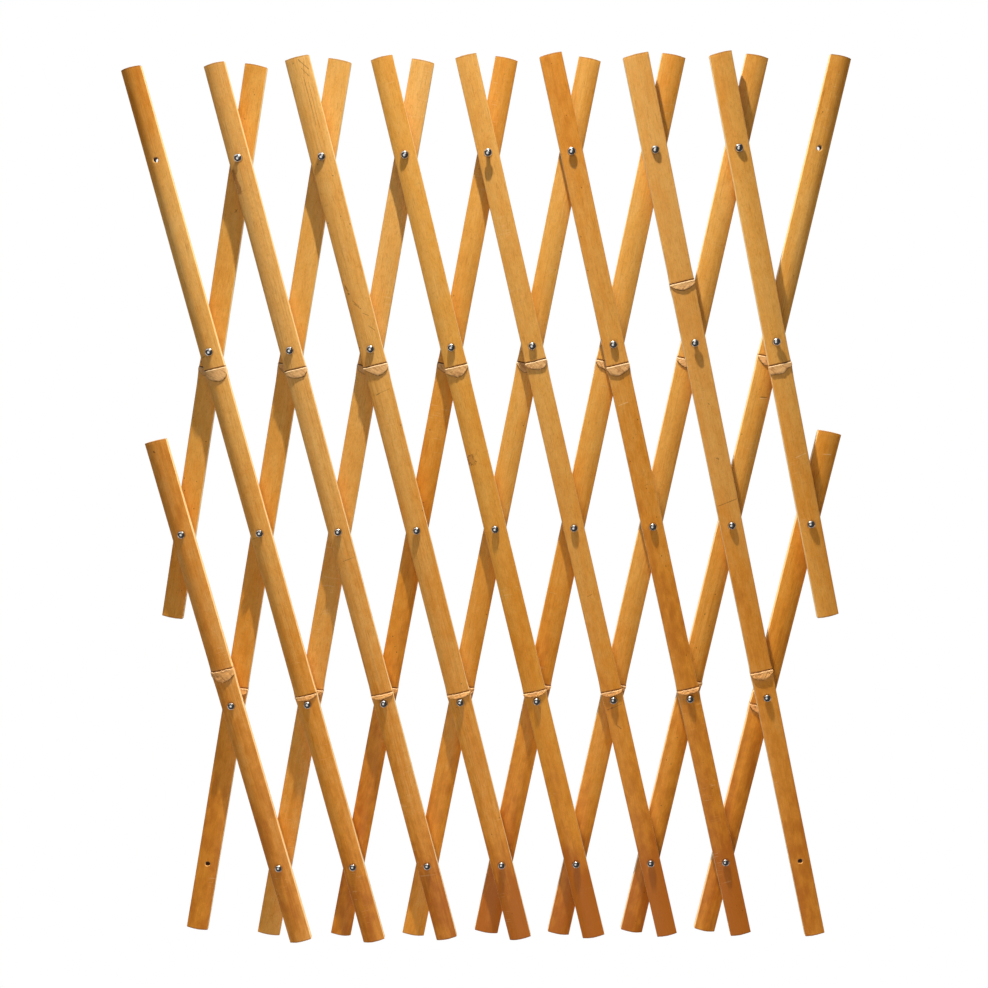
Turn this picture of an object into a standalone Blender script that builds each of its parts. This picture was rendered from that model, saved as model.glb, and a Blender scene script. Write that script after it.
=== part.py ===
"""Expandable bamboo trellis: two layers of slats, riveted where they cross.

Metres, +Z up, X across the trellis, front face towards -Y. The origin is behind the middle
rivet, on the wall plane that the rivet tails touch. Rows and slats are counted from 0: row 0 is
the top row of rivets and slat 0 is the leftmost slat of its layer.
"""
from math import cos, pi, radians, sin, tan

import bmesh
import bpy
from mathutils import Matrix, Vector

COLLECTION_NAME = "expandable_bamboo_trellis"

# Lattice
PITCH = 0.183
REST_HALF_ANGLE = radians(12.25)
ROWS = 5
SLATS_PER_LAYER = 9

# Slats
SLAT_WIDTH = 0.0220
SLAT_THICKNESS = 0.009
SIDE_TRIM = 0.0006
END_ARCH = 0.0007
END_CORNER = 0.0008
FRONT_FLATNESS = 3.4
BACK_FLATNESS = 3.0
SECTION_POINTS = 16

# Node scars, the half-moon chips left where a node's wall was cut away
SCAR_HEIGHT = 0.0017
SCAR_LIP = 0.0005
SCAR_SIDE_MARGIN = 0.0008
SCAR_ARC_POINTS = 6
TALL_SCAR = 0.0122
LONG_SCAR = 0.0100
MEDIUM_SCAR = 0.0084
SHORT_SCAR = 0.0050

# Rivets
SHANK_DIAMETER = 0.0038
HEAD_DIAMETER = 0.0076
HEAD_HEIGHT = 0.0027
HEAD_STANDOFF = 0.0007
TAIL_DIAMETER = 0.0062
TAIL_HEIGHT = 0.0014
TAIL_DIMPLE = 0.0006
RIVET_SEGMENTS = 10

# Loose rivets: the row, the front slat and how much further off that slat the head stands
LOOSE_RIVETS = {
    (0, 2): 0.0020,
    (0, 5): 0.0034,
    (0, 6): 0.0010,
    (1, 7): 0.0016,
    (1, 8): 0.0016,
}

# Holes
HOLE_CLEARANCE = 0.0003
COUNTERSINK_DIAMETER = 0.0064
COUNTERSINK_DEPTH = 0.0010

# Gaps between pieces that touch on the real trellis
SEAT_GAP = 0.0003

# Where each slat's scars lie: the rivet row beside the scar, the gap between that rivet's head
# and the scar (positive above the rivet, negative below it) and the scar's length
FRONT_SCARS = (
    ((3, 0.0224, TALL_SCAR),),
    ((1, -0.0129, TALL_SCAR), (3, 0.0008, SHORT_SCAR)),
    ((1, -0.0148, MEDIUM_SCAR), (3, 0.0012, SHORT_SCAR)),
    ((1, -0.0125, LONG_SCAR), (3, 0.0008, SHORT_SCAR)),
    ((1, -0.0149, LONG_SCAR), (3, 0.0012, SHORT_SCAR)),
    ((1, -0.0111, MEDIUM_SCAR), (3, 0.0008, SHORT_SCAR)),
    ((1, -0.0163, LONG_SCAR), (3, 0.0016, SHORT_SCAR)),
    ((1, 0.0466, MEDIUM_SCAR), (3, 0.0160, MEDIUM_SCAR)),
    ((1, -0.0182, LONG_SCAR),),
)
REAR_SCARS = (
    ((1, -0.0132, MEDIUM_SCAR),),
    ((1, -0.0112, MEDIUM_SCAR), (3, 0.0040, MEDIUM_SCAR)),
    ((1, -0.0142, MEDIUM_SCAR), (3, 0.0010, MEDIUM_SCAR)),
    ((1, -0.0137, MEDIUM_SCAR), (3, 0.0015, MEDIUM_SCAR)),
    ((1, -0.0142, MEDIUM_SCAR), (3, 0.0010, MEDIUM_SCAR)),
    ((1, -0.0137, MEDIUM_SCAR), (3, 0.0020, MEDIUM_SCAR)),
    ((1, -0.0127, MEDIUM_SCAR), (3, 0.0010, MEDIUM_SCAR)),
    ((1, -0.0117, MEDIUM_SCAR), (3, 0.0030, MEDIUM_SCAR)),
    ((3, -0.0092, MEDIUM_SCAR),),
)

# Each slat's width at its top end and at its bottom end, as shares of SLAT_WIDTH
FRONT_TAPERS = (
    (1.010, 1.080),
    (0.900, 1.070),
    (0.920, 1.020),
    (1.055, 1.045),
    (0.955, 1.080),
    (0.920, 0.975),
    (0.965, 0.990),
    (1.080, 0.945),
    (0.945, 0.975),
)
REAR_TAPERS = (
    (0.945, 0.965),
    (0.990, 1.025),
    (0.975, 1.080),
    (0.975, 0.980),
    (0.965, 1.070),
    (1.020, 1.145),
    (0.965, 1.055),
    (0.925, 1.070),
    (1.070, 1.010),
)

# How far each slat runs past its outermost rivet rows, above and below. The short corner slats
# end next to a middle row, a little further from their rivet.
FRONT_ENDS = (
    (0.0960, 0.0870),
    (0.0850, 0.0880),
    (0.0870, 0.0860),
    (0.0910, 0.0870),
    (0.0895, 0.0860),
    (0.0895, 0.0850),
    (0.0890, 0.0850),
    (0.0870, 0.0865),
    (0.0870, 0.0970),
)
REAR_ENDS = (
    (0.0870, 0.0905),
    (0.0900, 0.0770),
    (0.0880, 0.0845),
    (0.0885, 0.0865),
    (0.0865, 0.0875),
    (0.0880, 0.0855),
    (0.0860, 0.0885),
    (0.0840, 0.0870),
    (0.0915, 0.0870),
)

# Worked out from the sizes above
MIDDLE_ROW = ROWS // 2
MIDDLE_SLAT = SLATS_PER_LAYER // 2
LAST_SLAT = SLATS_PER_LAYER - 1
HOLE_DIAMETER = SHANK_DIAMETER + 2 * HOLE_CLEARANCE
LAYER_GAP = SCAR_HEIGHT + SEAT_GAP
REAR_LAYER_Y = -(TAIL_HEIGHT + SEAT_GAP + SLAT_THICKNESS / 2)
FRONT_LAYER_Y = REAR_LAYER_Y - SLAT_THICKNESS - LAYER_GAP
FRONT_FACE_Y = FRONT_LAYER_Y - SLAT_THICKNESS / 2
WELD_DISTANCE = 0.00001

# Cutters run this far past what they cut
CUTTER_MARGIN = 0.002


def clear_scene():
    for obj in list(bpy.data.objects):
        bpy.data.objects.remove(obj, do_unlink=True)


def new_collection(name):
    collection = bpy.data.collections.new(name)
    bpy.context.scene.collection.children.link(collection)
    return collection


def new_material(name, colour, roughness, metallic):
    material = bpy.data.materials.new(name)
    material.use_nodes = True
    shader = material.node_tree.nodes["Principled BSDF"]
    shader.inputs["Base Color"].default_value = (*colour, 1.0)
    shader.inputs["Roughness"].default_value = roughness
    shader.inputs["Metallic"].default_value = metallic
    return material


def new_object(name, mesh, collection):
    obj = bpy.data.objects.new(name, mesh)
    collection.objects.link(obj)
    return obj


def welded_mesh(obj, name):
    """Take an object's evaluated shape as a mesh with its seams welded, and remove the object."""
    graph = bpy.context.evaluated_depsgraph_get()
    mesh = bpy.data.meshes.new_from_object(obj.evaluated_get(graph))
    mesh.name = name
    bpy.data.objects.remove(obj, do_unlink=True)
    shape = bmesh.new()
    shape.from_mesh(mesh)
    bmesh.ops.remove_doubles(shape, verts=shape.verts, dist=WELD_DISTANCE)
    bmesh.ops.recalc_face_normals(shape, faces=shape.faces)
    shape.to_mesh(mesh)
    shape.free()
    mesh.shade_flat()
    return mesh


def prism_mesh(name, outline, low, high):
    """Extrude a flat outline along local Z, from low to high."""
    curve = bpy.data.curves.new(name, "CURVE")
    curve.dimensions = "2D"
    curve.fill_mode = "BOTH"
    curve.extrude = (high - low) / 2
    spline = curve.splines.new("POLY")
    spline.points.add(len(outline) - 1)
    for point, (x, y) in zip(spline.points, outline):
        point.co = (x, y, 0.0, 1.0)
    spline.use_cyclic_u = True
    mesh = welded_mesh(new_object(name, curve, bpy.context.scene.collection), name)
    mesh.transform(Matrix.Translation((0.0, 0.0, (low + high) / 2)))
    return mesh


def turned_mesh(name, profile):
    """Turn a profile of (radius, height) points, listed from the top down, about local Z."""
    outline = bpy.data.meshes.new(name)
    points = [(radius, 0.0, height) for radius, height in profile]
    edges = [(index, index + 1) for index in range(len(points) - 1)]
    outline.from_pydata(points, edges, [])
    obj = new_object(name, outline, bpy.context.scene.collection)
    screw = obj.modifiers.new("turn", "SCREW")
    screw.steps = RIVET_SEGMENTS
    screw.render_steps = RIVET_SEGMENTS
    screw.use_merge_vertices = True
    screw.merge_threshold = WELD_DISTANCE
    return welded_mesh(obj, name)


def joined_mesh(name, placed_meshes):
    """Put several meshes, each with its matrix, into one mesh."""
    shape = bmesh.new()
    for mesh, matrix in placed_meshes:
        copy = mesh.copy()
        copy.transform(matrix)
        shape.from_mesh(copy)
        bpy.data.meshes.remove(copy)
    joined = bpy.data.meshes.new(name)
    shape.to_mesh(joined)
    shape.free()
    return joined


def apply_boolean(obj, tool_mesh, operation, tools):
    """Add a Boolean modifier whose tool rides on the object, in the collection of cutters."""
    tool = new_object(f"{obj.name}_{operation.lower()}", tool_mesh, tools)
    tool.parent = obj
    tool.hide_render = True
    tool.display_type = "WIRE"
    modifier = obj.modifiers.new(operation.lower(), "BOOLEAN")
    modifier.operation = operation
    modifier.solver = "EXACT"
    modifier.object = tool


# Lattice layout


def rows_of(layer, slat):
    """The rivet rows that a slat spans: the outermost slats of each layer are short."""
    low_short = (layer == "front") == (slat == 0)
    if slat not in (0, LAST_SLAT):
        return range(ROWS)
    if low_short:
        return range(MIDDLE_ROW, ROWS)
    return range(MIDDLE_ROW + 1)


def partner(layer, slat, row):
    """The slat of the other layer that crosses this one at a row."""
    step = MIDDLE_ROW - row
    return slat - step if layer == "front" else slat + step


def has_rivet(layer, slat, row):
    other = partner(layer, slat, row)
    other_layer = "rear" if layer == "front" else "front"
    return 0 <= other <= LAST_SLAT and row in rows_of(other_layer, other)


def hinge_row(layer, slat):
    """The row of the rivet that joins a slat to the slat nearer the middle."""
    offset = MIDDLE_SLAT - slat if layer == "front" else slat - MIDDLE_SLAT
    return min(max(MIDDLE_ROW + offset, 0), ROWS - 1)


def crossing(layer, slat, row):
    """Place of a slat's hole in a row, on the wall plane."""
    half_step = PITCH * sin(REST_HALF_ANGLE)
    lean = -1 if layer == "front" else 1
    x = (slat - MIDDLE_SLAT) * 2 * half_step + lean * (MIDDLE_ROW - row) * half_step
    return Vector((x, 0.0, (MIDDLE_ROW - row) * PITCH * cos(REST_HALF_ANGLE)))


# Slats


def section_outline(width):
    """Cross-section of a slat, a superellipse whose faces have one flat facet each.

    It is drawn wider than the slat, whose sides are then cut flat.
    """
    first = pi / SECTION_POINTS
    widest = cos(first) ** (2 / FRONT_FLATNESS)
    points = []
    for index in range(SECTION_POINTS):
        angle = (2 * index + 1) * first
        power = 2 / (BACK_FLATNESS if sin(angle) > 0 else FRONT_FLATNESS)
        thickest = cos(first) ** power
        x = abs(cos(angle)) ** (2 / FRONT_FLATNESS) / widest
        y = abs(sin(angle)) ** power / thickest
        x = x if cos(angle) > 0 else -x
        y = y if sin(angle) > 0 else -y
        points.append((x * (width / 2 + SIDE_TRIM), y * SLAT_THICKNESS / 2))
    return points


def plan_outline(bottom, top, bottom_width, top_width):
    """Outline of a tapered slat seen from the front, with arched ends and nipped corners."""
    nip = END_CORNER * tan(radians(40))
    outline = []
    for height, width, up in ((top, top_width, 1), (bottom, bottom_width, -1)):
        side = width / 2
        shoulder = side - END_CORNER
        end = [(side, END_ARCH + nip), (shoulder, END_ARCH), (shoulder / 2, END_ARCH / 4)]
        end += [(-x, drop) for x, drop in reversed(end)]
        outline += [(up * x, height - up * drop) for x, drop in end]
    return outline


def scar_mesh(length, half_width):
    """A half-moon chip that rises from its straight edge to its rounded lower edge."""
    arc = [pi * index / SCAR_ARC_POINTS for index in range(SCAR_ARC_POINTS + 1)]
    outline = [(half_width * cos(angle), -length * sin(angle)) for angle in arc]
    sunk = SLAT_THICKNESS / 4
    mesh = prism_mesh("scar", outline, -sunk, SCAR_LIP)
    rise = (SCAR_HEIGHT - SCAR_LIP) / length
    tilt = Matrix.Identity(4)
    tilt[2][1] = -rise
    mesh.transform(tilt)
    mesh.transform(Matrix.Translation((0.0, 0.0, SLAT_THICKNESS / 2)))
    mesh.transform(Matrix.Rotation(pi / 2, 4, "X"))
    return mesh


def scar_edge(gap, length):
    """Height of a scar's straight edge above the centre of the rivet beside it."""
    head_radius = HEAD_DIAMETER / 2
    if gap > 0:
        return head_radius + gap + length
    return gap - head_radius


def build_slat(layer, slat, cutters, material, parts, tools):
    hinge = hinge_row(layer, slat)
    rows = rows_of(layer, slat)
    heights = {row: (hinge - row) * PITCH for row in rows}
    layer_ends = FRONT_ENDS if layer == "front" else REAR_ENDS
    above, below = layer_ends[slat % len(layer_ends)]
    top = heights[rows[0]] + above
    bottom = heights[rows[-1]] - below
    layer_tapers = FRONT_TAPERS if layer == "front" else REAR_TAPERS
    top_width, bottom_width = (SLAT_WIDTH * share for share in layer_tapers[slat % len(layer_tapers)])

    name = f"{layer}_slat_{slat + 1}"
    section = section_outline(max(top_width, bottom_width))
    body = prism_mesh(name, section, bottom - CUTTER_MARGIN, top + CUTTER_MARGIN)
    body.materials.append(material)
    obj = new_object(name, body, parts)
    obj.location = crossing(layer, slat, hinge)
    obj.location.y = FRONT_LAYER_Y if layer == "front" else REAR_LAYER_Y
    obj.rotation_euler.y = -REST_HALF_ANGLE if layer == "front" else REST_HALF_ANGLE

    half_depth = SLAT_THICKNESS / 2 + CUTTER_MARGIN
    outline = plan_outline(bottom, top, bottom_width, top_width)
    plan = prism_mesh(f"{name}_plan", outline, -half_depth, half_depth)
    plan.transform(Matrix.Rotation(pi / 2, 4, "X"))
    apply_boolean(obj, plan, "INTERSECT", tools)

    holes = []
    for row, height in heights.items():
        countersunk = not has_rivet(layer, slat, row)
        holes.append((cutters[countersunk], Matrix.Translation((0.0, 0.0, height))))
    apply_boolean(obj, joined_mesh(f"{name}_holes", holes), "DIFFERENCE", tools)

    layer_scars = FRONT_SCARS if layer == "front" else REAR_SCARS
    chips = []
    for row, gap, length in layer_scars[slat % len(layer_scars)]:
        if row in heights:
            edge = heights[row] + scar_edge(gap, length)
            share = (edge - bottom) / (top - bottom)
            width = bottom_width + (top_width - bottom_width) * share
            chip = scar_mesh(length, width / 2 - SCAR_SIDE_MARGIN)
            chips.append((chip, Matrix.Translation((0.0, 0.0, edge))))
    apply_boolean(obj, joined_mesh(f"{name}_scars", chips), "UNION", tools)


# Rivets


def rivet_profile(slack):
    """Domed head, shank and clinched tail, from the top of the head down, head side up.

    Heights are measured outwards from the wall plane. Slack lifts the head further off its slat.
    """
    head_radius = HEAD_DIAMETER / 2
    shank_radius = SHANK_DIAMETER / 2
    tail_radius = TAIL_DIAMETER / 2
    head_base = -FRONT_FACE_Y + HEAD_STANDOFF + slack
    rim = HEAD_HEIGHT * 0.22
    dome = HEAD_HEIGHT - rim
    profile = [(head_radius * sin(angle), head_base + rim + dome * cos(angle))
               for angle in (0.0, radians(32), radians(62), radians(90))]
    profile += [
        (head_radius * 0.86, head_base),
        (shank_radius, head_base),
        (shank_radius, TAIL_HEIGHT),
        (tail_radius, TAIL_HEIGHT * 0.8),
        (tail_radius * 0.72, 0.0),
        (0.0, TAIL_DIMPLE),
    ]
    return profile


def hole_profile(countersunk):
    """Hole cutter through a slat, from the front down, with heights from mid-thickness."""
    radius = HOLE_DIAMETER / 2
    half = SLAT_THICKNESS / 2
    front = half + CUTTER_MARGIN
    if not countersunk:
        return [(0.0, front), (radius, front), (radius, -front), (0.0, -front)]
    slope = (COUNTERSINK_DIAMETER / 2 - radius) / COUNTERSINK_DEPTH
    flared = COUNTERSINK_DIAMETER / 2 + slope * CUTTER_MARGIN
    return [
        (0.0, front),
        (flared, front),
        (radius, half - COUNTERSINK_DEPTH),
        (radius, -front),
        (0.0, -front),
    ]


def facing_front(mesh):
    mesh.transform(Matrix.Rotation(pi / 2, 4, "X"))
    return mesh


def rivet_mesh(slack, material):
    mesh = facing_front(turned_mesh("rivet", rivet_profile(slack)))
    mesh.materials.append(material)
    mesh.shade_smooth()
    mesh.set_sharp_from_angle(angle=radians(40))
    return mesh


def build_rivets(material, parts):
    slacks = sorted({0.0, *LOOSE_RIVETS.values()})
    meshes = {slack: rivet_mesh(slack, material) for slack in slacks}
    for row in range(ROWS):
        count = 0
        for slat in range(SLATS_PER_LAYER):
            if row not in rows_of("front", slat) or not has_rivet("front", slat, row):
                continue
            count += 1
            mesh = meshes[LOOSE_RIVETS.get((row, slat), 0.0)]
            obj = new_object(f"rivet_row_{row + 1}_{count}", mesh, parts)
            obj.location = crossing("front", slat, row)


def main():
    clear_scene()
    parts = new_collection(COLLECTION_NAME)
    tools = new_collection(f"{COLLECTION_NAME}_cutters")
    materials = {
        "front": new_material("front_bamboo", (0.62, 0.36, 0.13), 0.45, 0.0),
        "rear": new_material("rear_bamboo", (0.52, 0.27, 0.08), 0.5, 0.0),
    }
    steel = new_material("rivet_steel", (0.72, 0.72, 0.74), 0.2, 1.0)

    cutters = [facing_front(turned_mesh("hole", hole_profile(countersunk)))
               for countersunk in (False, True)]
    for layer in ("front", "rear"):
        for slat in range(SLATS_PER_LAYER):
            build_slat(layer, slat, cutters, materials[layer], parts, tools)

    build_rivets(steel, parts)


main()
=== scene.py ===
"""Looks of the expandable bamboo trellis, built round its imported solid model.

Metres, +Z up, front face towards -Y. Rows and slats count from 0, from the top left, as in the
solid model. Each slat's shape and material use its own frame: X across, Y in depth, Z along it.
"""
from math import cos, exp, pi, radians, sin

import bmesh
import bpy
from mathutils import Matrix, Vector, noise


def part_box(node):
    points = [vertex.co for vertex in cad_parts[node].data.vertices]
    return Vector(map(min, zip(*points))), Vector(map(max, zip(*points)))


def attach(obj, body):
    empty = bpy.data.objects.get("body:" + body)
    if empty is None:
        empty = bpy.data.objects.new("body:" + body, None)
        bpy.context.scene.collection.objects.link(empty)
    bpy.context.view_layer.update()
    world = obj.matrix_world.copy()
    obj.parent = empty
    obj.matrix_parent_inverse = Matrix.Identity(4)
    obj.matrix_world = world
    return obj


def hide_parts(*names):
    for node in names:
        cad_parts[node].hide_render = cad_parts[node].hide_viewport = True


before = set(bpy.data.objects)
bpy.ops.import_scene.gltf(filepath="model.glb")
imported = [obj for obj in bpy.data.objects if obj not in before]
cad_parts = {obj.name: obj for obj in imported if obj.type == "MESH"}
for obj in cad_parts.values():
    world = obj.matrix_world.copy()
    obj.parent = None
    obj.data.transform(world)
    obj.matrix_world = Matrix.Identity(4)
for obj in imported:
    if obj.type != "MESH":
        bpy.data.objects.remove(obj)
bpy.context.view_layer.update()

# Sizes of the solid model
PITCH = 0.183
HALF_ANGLE = radians(12.25)
ROWS = 5
SLATS = 9
MIDDLE_ROW = ROWS // 2
MIDDLE_SLAT = SLATS // 2
LAYER_Y = {"front": -0.0172, "rear": -0.0062}
LEAN = {"front": -1, "rear": 1}
WIDTH = 0.0220
THICKNESS = 0.009
SCAR_HEIGHT = 0.0017
TALL_SCAR = 0.0122
LONG_SCAR = 0.0100
MEDIUM_SCAR = 0.0084
SHORT_SCAR = 0.0050
HOLE_RADIUS = 0.0022
COUNTERSINK_RADIUS = 0.0032
COUNTERSINK_DEPTH = 0.0010
HEAD_RADIUS = 0.0038
HEAD_HEIGHT = 0.0027
SHANK_RADIUS = 0.0019
TAIL_RADIUS = 0.0031
TAIL_HEIGHT = 0.0014

# Nodes of each slat, left to right: row, gap from its rivet head, length of the chip
SCARS = {
    "front": (
        ((3, 0.0224, TALL_SCAR),),
        ((1, -0.0129, TALL_SCAR), (3, 0.0008, SHORT_SCAR)),
        ((1, -0.0148, MEDIUM_SCAR), (3, 0.0012, SHORT_SCAR)),
        ((1, -0.0125, LONG_SCAR), (3, 0.0008, SHORT_SCAR)),
        ((1, -0.0149, LONG_SCAR), (3, 0.0012, SHORT_SCAR)),
        ((1, -0.0111, MEDIUM_SCAR), (3, 0.0008, SHORT_SCAR)),
        ((1, -0.0163, LONG_SCAR), (3, 0.0016, SHORT_SCAR)),
        ((1, 0.0466, MEDIUM_SCAR), (3, 0.0160, MEDIUM_SCAR)),
        ((1, -0.0182, LONG_SCAR),),
    ),
    "rear": (
        ((1, -0.0132, MEDIUM_SCAR),),
        ((1, -0.0112, MEDIUM_SCAR), (3, 0.0040, MEDIUM_SCAR)),
        ((1, -0.0142, MEDIUM_SCAR), (3, 0.0010, MEDIUM_SCAR)),
        ((1, -0.0137, MEDIUM_SCAR), (3, 0.0015, MEDIUM_SCAR)),
        ((1, -0.0142, MEDIUM_SCAR), (3, 0.0010, MEDIUM_SCAR)),
        ((1, -0.0137, MEDIUM_SCAR), (3, 0.0020, MEDIUM_SCAR)),
        ((1, -0.0127, MEDIUM_SCAR), (3, 0.0010, MEDIUM_SCAR)),
        ((1, -0.0117, MEDIUM_SCAR), (3, 0.0030, MEDIUM_SCAR)),
        ((3, -0.0092, MEDIUM_SCAR),),
    ),
}

# Each slat's width at its top and bottom end, as shares of WIDTH
TAPERS = {
    "front": (
        (1.010, 1.080),
        (0.900, 1.070),
        (0.920, 1.020),
        (1.055, 1.045),
        (0.955, 1.080),
        (0.920, 0.975),
        (0.965, 0.990),
        (1.080, 0.945),
        (0.945, 0.975),
    ),
    "rear": (
        (0.945, 0.965),
        (0.990, 1.025),
        (0.975, 1.080),
        (0.975, 0.980),
        (0.965, 1.070),
        (1.020, 1.145),
        (0.965, 1.055),
        (0.925, 1.070),
        (1.070, 1.010),
    ),
}

# How far each slat runs past its outermost rivet rows, above and below
ENDS = {
    "front": (
        (0.0960, 0.0870),
        (0.0850, 0.0880),
        (0.0870, 0.0860),
        (0.0910, 0.0870),
        (0.0895, 0.0860),
        (0.0895, 0.0850),
        (0.0890, 0.0850),
        (0.0870, 0.0865),
        (0.0870, 0.0970),
    ),
    "rear": (
        (0.0870, 0.0905),
        (0.0900, 0.0770),
        (0.0880, 0.0845),
        (0.0885, 0.0865),
        (0.0865, 0.0875),
        (0.0880, 0.0855),
        (0.0860, 0.0885),
        (0.0840, 0.0870),
        (0.0915, 0.0870),
    ),
}

# The culm's curve left on each slat's front face: how far its left and right edges fall back
CROWN = {
    "front": ((0.0026, 0.0011), (0.0031, 0.0011), (0.0020, 0.0011), (0.0021, 0.0010),
              (0.0023, 0.0008), (0.0012, 0.0009), (0.0011, 0.0010), (0.0010, 0.0006),
              (0.0011, 0.0010)),
    "rear": ((0.0009, 0.0013), (0.0009, 0.0014), (0.0008, 0.0017), (0.0006, 0.0027),
             (0.0006, 0.0024), (0.0009, 0.0023), (0.0010, 0.0021), (0.0008, 0.0028),
             (0.0012, 0.0021)),
}

# Lower outline of a chip, from left to right: place across it from -1 to 1, share of its length
SCAR_OUTLINES = {
    ("front", 0): ((-1, 0.35), (-0.6, 0.80), (-0.1, 1.0), (0.5, 0.85), (1, 0.50)),
    ("front", 1): ((-1, 0.35), (-0.8, 0.62), (-0.35, 0.88), (0.2, 1.0), (0.6, 0.95),
                   (0.9, 0.7), (1, 0.45)),
    ("front", 2): ((-1, 0.15), (-0.8, 0.55), (-0.3, 0.93), (0.35, 1.0), (0.68, 0.95), (1, 0.45)),
    ("front", 3): ((-1, 0.08), (-0.5, 0.52), (0.05, 1.0), (0.5, 0.88), (0.85, 0.66), (1, 0.40)),
    ("front", 4): ((-1, 0.40), (-0.55, 0.74), (-0.1, 1.0), (0.4, 0.90), (0.78, 0.56), (1, 0.22)),
    ("front", 5): ((-1, 0.10), (-0.8, 0.58), (-0.3, 0.80), (0.2, 1.0), (0.72, 0.84), (1, 0.38)),
    ("front", 6): ((-1, 0.20), (-0.78, 0.78), (-0.2, 1.0), (0.2, 0.92), (0.62, 0.74), (1, 0.45)),
    ("front", 7): ((-1, 0.12), (-0.65, 0.52), (-0.1, 0.90), (0.45, 0.80), (0.85, 0.50), (1, 0.2)),
    ("front", 8): ((-1, 0.75), (-0.7, 0.85), (0.15, 0.90), (0.45, 0.62), (1, 0.35)),
}
PLAIN_OUTLINES = (
    ((-1, 0.20), (-0.7, 0.66), (-0.1, 0.95), (0.5, 0.90), (0.85, 0.60), (1, 0.30)),
    ((-1, 0.35), (-0.5, 0.80), (0.15, 1.0), (0.6, 0.72), (1, 0.25)),
    ((-1, 0.15), (-0.6, 0.75), (-0.2, 1.0), (0.3, 0.84), (0.8, 0.62), (1, 0.35)),
)

# Stain of each slat, left to right: 0 is pale straw, 1 is deep orange brown. Rear slat 3's value is
# set deeper, partly as painted shade.
STAIN = {
    "front": (0.40, 0.24, 0.24, 0.27, 0.26, 0.30, 0.46, 0.36, 0.34),
    "rear": (0.34, 0.32, 0.18, 0.44, 0.27, 0.32, 0.28, 0.33, 0.42),
}
# Stain added towards each slat's top end and its foot. Front slat 1's large head value is partly
# painted shade on its top end.
HEAD_STAIN = {
    "front": (0.12, 0.46, 0.24, 0.00, 0.14, 0.04, 0.32, 0.04, 0.16),
    "rear": (0.20, -0.08, 0.00, 0.14, 0.16, 0.18, 0.26, 0.20, 0.06),
}
FOOT_STAIN = {
    "front": (-0.16, 0.14, 0.24, 0.36, 0.52, 0.46, 0.42, 0.00, -0.06),
    "rear": (0.00, 0.00, -0.22, -0.02, -0.04, 0.34, 0.26, 0.24, -0.04),
}

# The stain's general deepening runs over the lattice from this far above its middle to as far below
STAIN_REACH = 0.44

# How strong the long dark fibres are on each slat, and its dry pale bloom
GRAIN = {
    "front": (0.7, 0.7, 0.9, 0.8, 0.3, 0.2, 0.4, 0.4, 0.4),
    "rear": (0.2, 0.3, 0.4, 0.3, 0.6, 0.6, 0.6, 0.8, 0.7),
}
BLOOM = {
    "front": (0.16, 0.07, 0.10, 0.07, 0.00, 0.05, 0.05, 0.08, 0.04),
    "rear": (0.02, 0.03, 0.06, 0.02, 0.02, 0.02, 0.03, 0.02, 0.02),
}

# Marks on single slats: kind, one end and the other (across, along), width and strength, in mm
MARKS = {
    ("front", 0): (("dark", (-3.5, 452), (-3.0, 451), 2.0, 0.7),),
    ("front", 1): (
        ("dark", (-9.0, 545), (-4.6, 546.5), 0.8, 0.6),
        ("dark", (-9.0, 361.5), (-4.0, 362.5), 0.8, 0.5),
    ),
    ("front", 2): (
        ("rust", (-8.5, 722), (-7.0, 702), 4.5, 0.65),
        ("dark", (-3.0, 336), (8.0, 337.5), 0.7, 0.5),
    ),
    ("front", 3): (
        ("dark", (1.0, 637), (8.2, 627), 0.9, 0.65),
        ("dark", (5.5, 634), (3.0, 624), 0.8, 0.45),
        ("dark", (2.0, 629), (7.0, 621), 0.8, 0.45),
        ("dark", (2.0, 621), (2.3, 578), 0.7, 0.50),
        ("dark", (5.0, 616), (4.8, 574), 0.6, 0.40),
        ("dark", (-9.0, 429), (-7.5, 424), 1.3, 0.55),
        ("dark", (-7.8, 422), (-7.2, 421), 1.6, 0.65),
        ("dark", (-5.2, 414), (-1.0, 408), 0.8, 0.60),
        ("dark", (-4.6, 411), (0.4, 405), 0.8, 0.60),
        ("dark", (1.6, 400.5), (6.3, 397), 0.7, 0.55),
        ("dark", (3.5, 388), (8.4, 382.5), 0.7, 0.50),
        ("dark", (-5.3, 322), (-2.2, 323), 1.1, 0.65),
        ("dark", (-2.2, 323), (8.6, 325), 0.5, 0.40),
    ),
    ("front", 4): (("knot", (-7.4, 74.5), (-6.4, 70.5), 6.4, 0.70),),
    ("front", 5): (
        ("dark", (-2.0, -254), (2.5, -253), 0.8, 0.45),
        ("dark", (-7.8, -375), (-3.0, -373.8), 1.3, 0.70),
        ("dark", (-3.0, -373.8), (7.0, -372), 0.7, 0.55),
        ("dark", (-2.6, -392.6), (1.1, -397.4), 0.9, 0.65),
    ),
    ("front", 6): (
        ("pale", (-8.0, -241.5), (2.0, -240), 0.8, 0.45),
        ("dark", (1.0, -324), (4.0, -323), 1.0, 0.30),
    ),
    ("front", 7): (
        ("dark", (-9.4, -344), (9.4, -341), 0.8, 0.60),
        ("dark", (-1.0, -297), (0.0, -298), 1.8, 0.50),
        ("dark", (1.5, -243), (2.0, -244), 1.6, 0.45),
    ),
    ("front", 8): (("pale", (-2.0, -297.5), (8.0, -295.5), 0.8, 0.50),),
    ("rear", 0): (
        ("dark", (1.0, -46), (3.2, -48), 0.9, 0.55),
        ("dark", (3.2, -45.5), (1.4, -49), 0.9, 0.55),
    ),
    ("rear", 7): (
        ("dark", (0.8, 494), (7.0, 495), 1.0, 0.75),
        ("pale", (0.5, 492.8), (7.4, 493.8), 0.8, 0.50),
    ),
    ("rear", 8): (("pale", (-2.0, 435), (6.0, 436), 0.9, 0.50),),
}

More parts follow.
